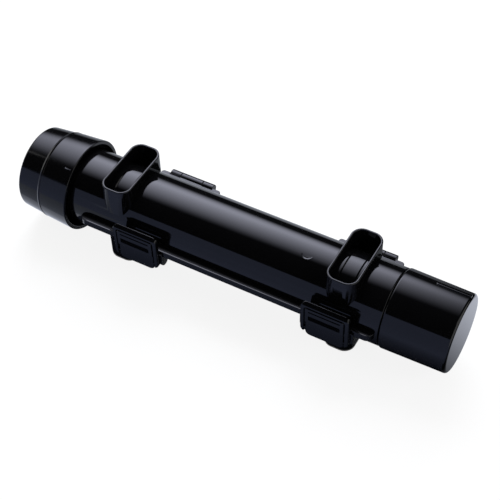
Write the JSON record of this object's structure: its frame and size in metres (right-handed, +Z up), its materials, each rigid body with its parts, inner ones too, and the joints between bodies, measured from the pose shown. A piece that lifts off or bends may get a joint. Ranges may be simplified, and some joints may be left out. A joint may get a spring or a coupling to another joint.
{
  "type": "rice mould press",
  "caption": "Cylindrical rice mould of hinged half shells with oval feet and front latches, a flared plunger knob at one end and a plug-in cap at the other.",
  "frame": {"origin": "centre of the box, at the level of the lower feet's rims", "axes": "+X along the tube from the knob to the end cap, +Y from the latches to the hinges, +Z up"},
  "size_m": [0.311, 0.0744, 0.066],
  "materials": {
    "shell_plastic": "glossy moulded black",
    "latch_plastic": "semi-gloss moulded black",
    "knob_plastic": "semi-gloss moulded black",
    "pin_steel": "drawn steel"
  },
  "bodies": {
    "base": {"lower_shell": "shell_plastic", "hinge_pin_left": "pin_steel", "hinge_pin_right": "pin_steel", "latch_pin_left": "pin_steel", "latch_pin_right": "pin_steel"},
    "lid": {"upper_shell": "shell_plastic"},
    "left_latch": {"latch_left": "latch_plastic"},
    "right_latch": {"latch_right": "latch_plastic"},
    "cap": {"end_cap": "shell_plastic"},
    "plunger": {"knob_skirt": "knob_plastic", "knob_cap": "knob_plastic", "push_rod": "shell_plastic", "rod_screw": "pin_steel", "piston": "shell_plastic"}
  },
  "joints": [
    {"name": "lid_hinge", "type": "hinge", "parent": "base", "child": "lid", "pos_m": [0.0116, 0.0337, 0.033], "axis": [-1, 0, 0], "range_deg": [0, 180]},
    {"name": "left_latch_pivot", "type": "hinge", "parent": "base", "child": "left_latch", "pos_m": [-0.05765, -0.0301, 0.025], "axis": [1, 0, 0], "range_deg": [0, 45]},
    {"name": "right_latch_pivot", "type": "hinge", "parent": "base", "child": "right_latch", "pos_m": [0.07925, -0.0301, 0.025], "axis": [1, 0, 0], "range_deg": [0, 45]},
    {"name": "plunger_slide", "type": "slide", "parent": "base", "child": "plunger", "axis": [-1, 0, 0], "range_m": [0, 0.195]},
    {"name": "end_cap_slide", "type": "slide", "parent": "base", "child": "cap", "axis": [1, 0, 0], "range_m": [0, 0.03]}
  ]
}
